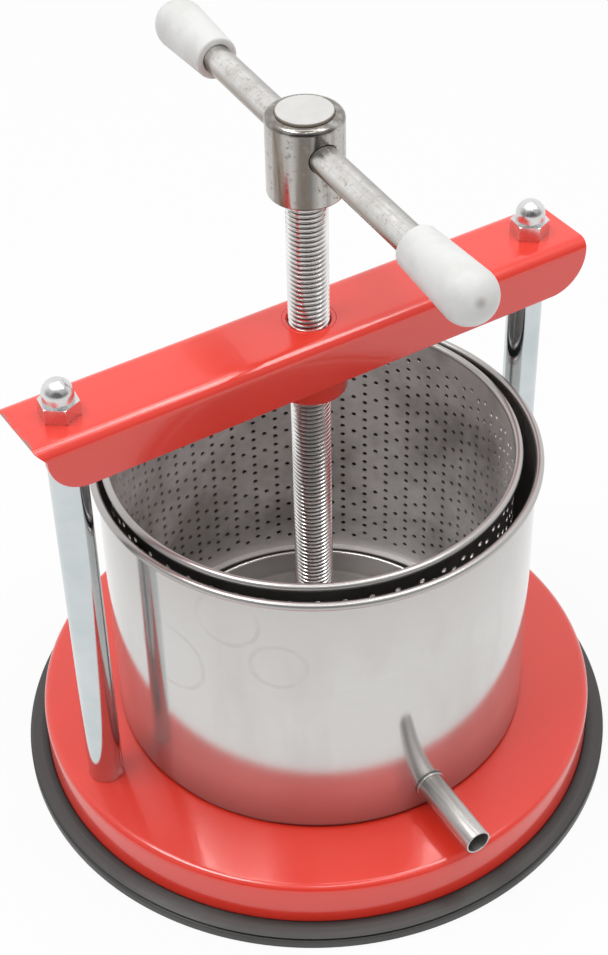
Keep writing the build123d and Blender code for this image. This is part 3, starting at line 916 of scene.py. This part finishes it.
screw_steel, tree, shader, spot = new_finish("rolled screw steel", 1.0)
screw_film = use_group(tree, cloud, Vector=spot, Scale=60.0, Low=0.35, High=0.7)
# Painted shade: the thread is near black at its roots and lighter on its crests.
crest_share = share_by_distance(tree, spot, 8.6, 9.3)
crest_tone = mix_colours(tree, screw_film, (0.88, 0.865, 0.85), (0.74, 0.725, 0.71))
feed(
    tree, shader,
    Base_Color=mix_colours(tree, crest_share, (0.16, 0.15, 0.14), crest_tone),
    Roughness=between(tree, screw_film, 0.14, 0.26),
)

# The outline of one turn of the thread, as shares of its pitch and radii.
thread_shape = [
    (0.0, thread_root),
    (0.12, thread_root + 0.1),
    (0.36, screw_radius - 0.2),
    (0.5, screw_radius),
    (0.64, screw_radius - 0.2),
    (0.88, thread_root + 0.1),
]
thread_turns = int((thread_top + 1 - screw_shoulder) / thread_pitch) + 3
screw = bmesh.new()
thread_corners = []
for turn in range(thread_turns):
    for share, radius in thread_shape:
        level = screw_shoulder + (turn - 1 + share) * thread_pitch
        thread_corners.append(screw.verts.new((radius * mm, 0, level * mm)))
for side in zip(thread_corners, thread_corners[1:]):
    screw.edges.new(side)
bmesh.ops.spin(
    screw, geom=screw.verts[:] + screw.edges[:], cent=(0, 0, 0), axis=(0, 0, 1), angle=2 * pi,
    steps=thread_steps, dvec=(0, 0, thread_pitch / thread_steps * mm),
)
bmesh.ops.remove_doubles(screw, verts=screw.verts[:], dist=0.01 * mm)
cut_off(screw, (0, 0, screw_shoulder * mm), (0, 0, -1))
cut_off(screw, (0, 0, thread_top * mm), (0, 0, 1))
bmesh.ops.recalc_face_normals(screw, faces=screw.faces[:])
place(screw, "threaded_screw", "screw", ["press_screw"], screw_steel)

journal_outline = [
    (0, screw_foot),
    (journal_radius, screw_foot, 0.5),
    (journal_radius, journal_groove_foot),
    (journal_groove_radius, journal_groove_foot),
    (journal_groove_radius, journal_groove_top),
    (journal_radius, journal_groove_top),
    (journal_radius, screw_shoulder),
    (0, screw_shoulder),
]
place(turned(journal_outline, 64), "screw_journal", "screw", ["press_screw"], turned_steel)


# Hub: a turned steel head fixed on the screw's top, rounded along its upper edge and drilled across.
# It has brown stains and specks from handling, and a dark band down its front and its back is a painted
# reflection.
hub_radius = 18.0
hub_top = 383.0
recess_radius = 13.4
recess_floor = 382.0
hub_bore = screw_radius + 0.1
bar_angle = -94.1
bar_offset = 4.2
bar_level = 368.1
bar_radius = 7.0
bar_hole_radius = bar_radius + 0.3
bar_hole_reach = 40.0
across_reflection_band = (0.85, -0.53, 0.0)

stained_steel, tree, shader, spot = new_finish("stained steel", 1.0)
hub_marks = use_group(tree, round_lines, Vector=spot, Fineness=1300.0, Drift=30.0)
upright = add_node(tree, "ShaderNodeMapping", {"Vector": spot, "Scale": (1.0, 1.0, 0.07)})
brown_runs = use_group(tree, cloud, Vector=upright.outputs["Vector"], Scale=120.0, Low=0.46, High=0.68)
hub_tone = mix_colours(tree, hub_marks, (0.42, 0.40, 0.375), (0.56, 0.54, 0.515))
specks = use_group(tree, cloud, Vector=spot, Scale=420.0, Low=0.56, High=0.70)
on_shoulder = share_by_height(tree, spot, 379.4, 380.6)
mottled = use_group(tree, cloud, Vector=spot, Scale=170.0, Low=0.36, High=0.56)
# Painted reflection: a dark band runs down the front and the back of the hub.
aside = add_node(tree, "ShaderNodeVectorMath", {0: spot, 1: across_reflection_band}, operation="DOT_PRODUCT")
off_reflection_band = add_node(tree, "ShaderNodeMath", {0: aside.outputs["Value"]}, operation="ABSOLUTE")
painted_reflection_band = ramp(tree, off_reflection_band.outputs[0], 6.0 * mm, 2.0 * mm, most=0.8)
banded_tone = mix_colours(tree, painted_reflection_band, hub_tone, (0.11, 0.10, 0.09))
side_tone = mix_colours(tree, brown_runs, banded_tone, (0.20, 0.155, 0.115))
stains_and_reflection_tone = mix_colours(tree, both(tree, on_shoulder, mottled), side_tone, (0.24, 0.22, 0.20))
feed(
    tree, shader,
    Base_Color=mix_colours(tree, specks, stains_and_reflection_tone, (0.24, 0.21, 0.185)),
    Roughness=between(tree, brown_runs, 0.16, 0.36),
)
add_bump(tree, shader, hub_marks, 0.004)

bar_direction = Vector((cos(radians(bar_angle)), sin(radians(bar_angle)), 0))
bar_centre = Vector((0, 0, bar_level * mm)) + bar_direction * (bar_offset * mm)
along_bar = Matrix.Translation(bar_centre) @ bar_direction.to_track_quat("Z", "Y").to_matrix().to_4x4()
hub_outline = [
    (hub_bore, hub_foot),
    (hub_radius, hub_foot, 1.5),
    (hub_radius, hub_top, 3.0),
    (recess_radius, hub_top, 0.2),
    (recess_radius, recess_floor),
    (hub_bore, recess_floor),
]
head = turned(hub_outline, 128, closed=True)
hub = place(head, "screw_head", "screw", ["screw_hub"], stained_steel)
bar_hole = rod(bar_hole_radius, -bar_hole_reach, bar_hole_reach, 64)
bmesh.ops.transform(bar_hole, matrix=along_bar, verts=bar_hole.verts[:])
drill(hub, bar_hole)


# Hub disc: a pale moulded plastic disc that is pressed into the recess in the hub's top.
# It covers the screw's end, and its edge is painted dark as the shade in the gap round it.
disc_radius = recess_radius - 0.1
disc_edge = recess_floor + 2.1
disc_top = recess_floor + 2.3

pale_plastic, tree, shader, spot = new_finish("pale plastic")
disc_film = use_group(tree, cloud, Vector=spot, Scale=90.0, Low=0.3, High=0.7)
disc_tone = mix_colours(tree, disc_film, (0.66, 0.65, 0.625), (0.73, 0.72, 0.695))
# Painted shade: a dark ring along the disc's edge.
disc_edge_shade = share_by_distance(tree, spot, 12.7, 13.1)
feed(
    tree, shader,
    Base_Color=mix_colours(tree, disc_edge_shade, disc_tone, (0.30, 0.25, 0.20)),
    Roughness=between(tree, disc_film, 0.36, 0.5),
)
disc_outline = [
    (0, recess_floor),
    (disc_radius, recess_floor),
    (disc_radius, disc_edge, 0.6),
    (disc_radius - 3, disc_top, 1.0),
    (0, disc_top),
]
place(turned(disc_outline, 96), "hub_disc", "screw", ["hub_cap"], pale_plastic)


# Tommy bar: a plain round steel bar through the hub, ground bright, a little pitted and tarnished, with
# painted shade on its underside and along its far side. It turns the screw, and a grip is pushed over each of
# its ends.
bar_half_length = 131.0
bar_end_edge = 0.8

ground_steel, tree, shader, spot = new_finish("ground steel", 1.0)
bar_mapping = add_node(
    tree, "ShaderNodeMapping",
    {"Vector": spot, "Rotation": (0.0, 0.0, radians(bar_angle)), "Scale": (0.025, 0.0011, 0.0011)},
    vector_type="TEXTURE",
)
grinding = use_group(tree, cloud, Vector=bar_mapping.outputs["Vector"], Scale=1.0, Low=0.25, High=0.75)
pits = use_group(tree, cloud, Vector=spot, Scale=420.0, Low=0.56, High=0.76)
tarnish = use_group(tree, cloud, Vector=spot, Scale=120.0, Low=0.42, High=0.68)
ground_tone = mix_colours(tree, grinding, (0.62, 0.605, 0.585), (0.86, 0.845, 0.825))
dulled_tone = mix_colours(tree, tarnish, ground_tone, (0.60, 0.58, 0.555))
across_bar = add_node(
    tree, "ShaderNodeMapping",
    {"Vector": spot, "Rotation": (0.0, 0.0, radians(bar_angle))}, vector_type="TEXTURE",
)
# Painted shade: the bar is darker along its far side and on its underside.
sideways = add_node(tree, "ShaderNodeSeparateXYZ", {"Vector": across_bar.outputs["Vector"]})
far_side_shade = ramp(tree, sideways.outputs["Y"], -0.5 * mm, 4.2 * mm)
far_side_shaded_tone = mix_colours(tree, far_side_shade, dulled_tone, (0.30, 0.285, 0.27))
underside_shade = share_by_height(tree, spot, 371.2, 367.6)
bar_tone = mix_colours(tree, underside_shade, far_side_shaded_tone, (0.27, 0.225, 0.185))
feed(
    tree, shader,
    Base_Color=mix_colours(tree, pits, bar_tone, (0.40, 0.37, 0.34)),
    Roughness=between(tree, grinding, 0.16, 0.30),
)
add_bump(tree, shader, grinding, 0.004)

bar_outline = [
    (0, -bar_half_length),
    (bar_radius, -bar_half_length, bar_end_edge),
    (bar_radius, bar_half_length, bar_end_edge),
    (0, bar_half_length),
]
bar = turned(bar_outline, 64)
bmesh.ops.transform(bar, matrix=along_bar, verts=bar.verts[:])
place(bar, "turning_bar", "screw", ["tommy_bar"], ground_steel)


# Grips: white plastic sleeves moulded with a taper and a round end, pushed over the bar's ends.
# They have picked up a little grime, and the right one a brown stain near its tip.
grip_start = 91.3
grip_length = 52.0
grip_neck = 10.5
grip_girth = 12.5
grip_bore = bar_radius + 0.05
grip_bore_end = bar_half_length + 0.1
stain_x = -12.4
stain_y = -146.0
stain_z = 371.9

white_plastic, tree, shader, spot = new_finish("white plastic")
grime = use_group(tree, cloud, Vector=spot, Scale=60.0, Low=0.45, High=0.8)
moulded = use_group(tree, cloud, Vector=spot, Scale=900.0, Low=0.2, High=0.8)
grip_tone = mix_colours(tree, grime, (0.82, 0.82, 0.80), (0.70, 0.69, 0.66))
from_stain = add_node(
    tree, "ShaderNodeVectorMath",
    {0: spot, 1: (stain_x * mm, stain_y * mm, stain_z * mm)}, operation="DISTANCE",
)
stain = ramp(tree, from_stain.outputs["Value"], 3.2 * mm, 0.6 * mm, most=0.7)
feed(
    tree, shader,
    Base_Color=mix_colours(tree, stain, grip_tone, (0.42, 0.38, 0.33)),
    Roughness=between(tree, grime, 0.4, 0.55),
)
add_bump(tree, shader, moulded, 0.01)

end_centre = grip_start + grip_length - grip_girth
grip_outline = [
    (grip_bore, grip_bore_end),
    (grip_bore, grip_start, 0.5),
    (grip_neck, grip_start, 1.2),
]
grip_outline += bead(0, end_centre, grip_girth, 0, 90)
grip_outline.append((0, grip_bore_end))
for side, way in (("right", 0), ("left", pi)):
    grip = turned(grip_outline, 72, closed=True)
    bmesh.ops.transform(grip, matrix=along_bar @ Matrix.Rotation(way, 4, "X"), verts=grip.verts[:])
    place(grip, f"{side}_handle", "screw", [f"grip_{side}"], white_plastic)


# Floor: a wide pale sheet under the press that reads as white and keeps a soft shadow.
# It is not part of the press.
floor_half_width_m = 4.0
plain_white_share = 0.92


def either(tree, first, second):
    return add_node(tree, "ShaderNodeMath", {0: first, 1: second}, operation="MAXIMUM").outputs[0]


floor = bmesh.new()
bmesh.ops.create_grid(floor, x_segments=1, y_segments=1, size=floor_half_width_m)
floor_data = bpy.data.meshes.new("studio_floor")
floor.to_mesh(floor_data)
floor.free()
studio_floor = bpy.data.objects.new("studio_floor", floor_data)
bpy.context.scene.collection.objects.link(studio_floor)
floor_paper = bpy.data.materials.new("floor paper")
floor_paper.use_nodes = True
tree = floor_paper.node_tree
shader = tree.nodes["Principled BSDF"]
shader.inputs["Base Color"].default_value = (0.88, 0.88, 0.88, 1)
shader.inputs["Roughness"].default_value = 0.9
shader.inputs["Specular IOR Level"].default_value = 0.0
rays = add_node(tree, "ShaderNodeLightPath").outputs
seen_or_mirrored = either(tree, rays["Is Camera Ray"], rays["Is Glossy Ray"])
white_share = both(tree, either(tree, seen_or_mirrored, rays["Is Transmission Ray"]), plain_white_share)
paper_white = add_node(tree, "ShaderNodeEmission", {"Color": (1, 1, 1, 1), "Strength": 1.0})
paper_mix = add_node(
    tree, "ShaderNodeMixShader",
    {0: white_share, 1: shader.outputs[0], 2: paper_white.outputs[0]},
)
tree.links.new(paper_mix.outputs[0], tree.nodes["Material Output"].inputs["Surface"])
floor_data.materials.append(floor_paper)


# Light: a pale room that is darker in front, with four light panels hung flat above the press.
# They hang to its left, front, right and back, and the background itself is plain white.
to_the_back = (0.53, 0.85, 0.0)
world = bpy.data.worlds.new("pale room")
bpy.context.scene.world = world
world.use_nodes = True
tree = world.node_tree
room = tree.nodes["Background"]
room_rays = add_node(tree, "ShaderNodeLightPath").outputs
mirrored = either(tree, room_rays["Is Glossy Ray"], room_rays["Is Transmission Ray"])
outward = add_node(tree, "ShaderNodeTexCoord").outputs["Generated"]
rise = add_node(tree, "ShaderNodeSeparateXYZ", {"Vector": outward}).outputs["Z"]
behind = add_node(tree, "ShaderNodeVectorMath", {0: outward, 1: to_the_back}, operation="DOT_PRODUCT")


def share_of(value, start, end):
    inputs = {"Value": value, "From Min": start, "From Max": end}
    return add_node(tree, "ShaderNodeMapRange", inputs, interpolation_type="SMOOTHSTEP").outputs["Result"]


back_share = share_of(behind.outputs["Value"], -0.35, 0.35)
low_wall = mix_colours(tree, back_share, (0.26, 0.26, 0.265), (1.0, 1.0, 1.0))
high_wall = mix_colours(tree, back_share, (0.55, 0.55, 0.56), (1.05, 1.05, 1.05))
bare_walls = mix_colours(tree, share_of(rise, 0.1, 0.5), low_wall, high_wall)
standing_dark = share_of(behind.outputs["Value"], -0.72, -0.78)
walls = mix_colours(tree, standing_dark, bare_walls, (0.14, 0.14, 0.145))
room_tone = mix_colours(tree, share_of(rise, 0.6, 0.9), walls, (0.8, 0.8, 0.81))
unseen_tone = mix_colours(tree, mirrored, (0.36, 0.36, 0.37), room_tone)
tree.links.new(
    mix_colours(tree, room_rays["Is Camera Ray"], unseen_tone, (1.0, 1.0, 1.0)), room.inputs["Color"]
)


def add_lamp(name, place_m, spread_m, power, turn=0):
    lamp_data = bpy.data.lights.new(name, "AREA")
    lamp_data.shape = "RECTANGLE"
    lamp_data.size, lamp_data.size_y = spread_m
    lamp_data.energy = power
    lamp = bpy.data.objects.new(name, lamp_data)
    lamp.location = place_m
    lamp.rotation_euler = (0, 0, radians(turn))
    bpy.context.scene.collection.objects.link(lamp)


add_lamp("left panel", (-1.2, 0.3, 3.0), (0.6, 1.6), 35.0)
add_lamp("front panel", (-0.1, -1.0, 3.0), (1.2, 0.3), 9.0)
add_lamp("right panel", (1.15, -0.7, 3.0), (0.5, 2.1), 23.0, turn=24)
add_lamp("back panel", (0.2, 0.9, 3.0), (2.0, 0.6), 12.0)


# Camera: in front, to the left of the spout and well above the rim, as the photograph was taken.
# The shift only brings the press to its place in the frame.
view_data = bpy.data.cameras.new("view")
view_data.sensor_width = 36.0
view_data.lens = 71.335
view_data.shift_x = -0.0429
view = bpy.data.objects.new("view", view_data)
view.location = (-0.38497, -0.61949, 0.79605)
view.rotation_euler = (radians(49.518), radians(0.271), radians(-33.391))
bpy.context.scene.collection.objects.link(view)
bpy.context.scene.camera = view
bpy.context.scene.view_settings.view_transform = "Standard"
